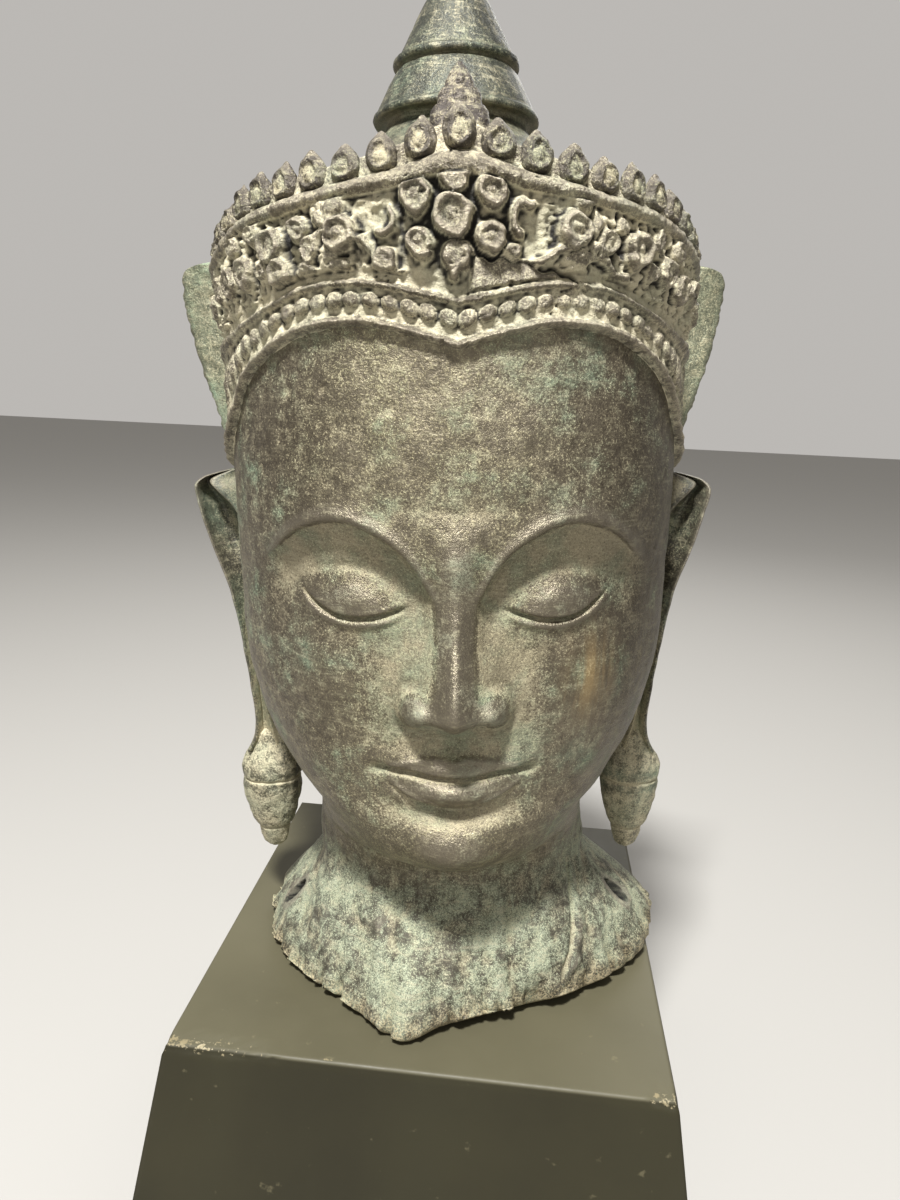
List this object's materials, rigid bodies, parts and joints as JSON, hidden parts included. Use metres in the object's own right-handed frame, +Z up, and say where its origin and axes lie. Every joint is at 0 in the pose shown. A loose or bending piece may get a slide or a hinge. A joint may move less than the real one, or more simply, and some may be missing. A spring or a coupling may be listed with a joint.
{
  "type": "bronze buddha head on plinth",
  "caption": "Hollow-cast bronze head with a banded, leaf-edged crown, long ears with drop pendants and a ragged neck, standing on a tapered square plinth.",
  "frame": {"origin": "centre of the plinth's underside", "axes": "+Z up, -Y towards the plinth's front, +X to the right as seen from the front; the head stands turned about 6 degrees and leans about 2 degrees"},
  "size_m": [0.2496, 0.24, 0.5397],
  "materials": {
    "painted_wood": "dark olive-brown paint, satin, worn pale along the top edges",
    "bronze": "dark brown-grey bronze, satin, with green and tan patina in the hollows"
  },
  "bodies": {
    "root": {"plinth": "painted_wood", "head": "bronze"}
  },
  "joints": []
}
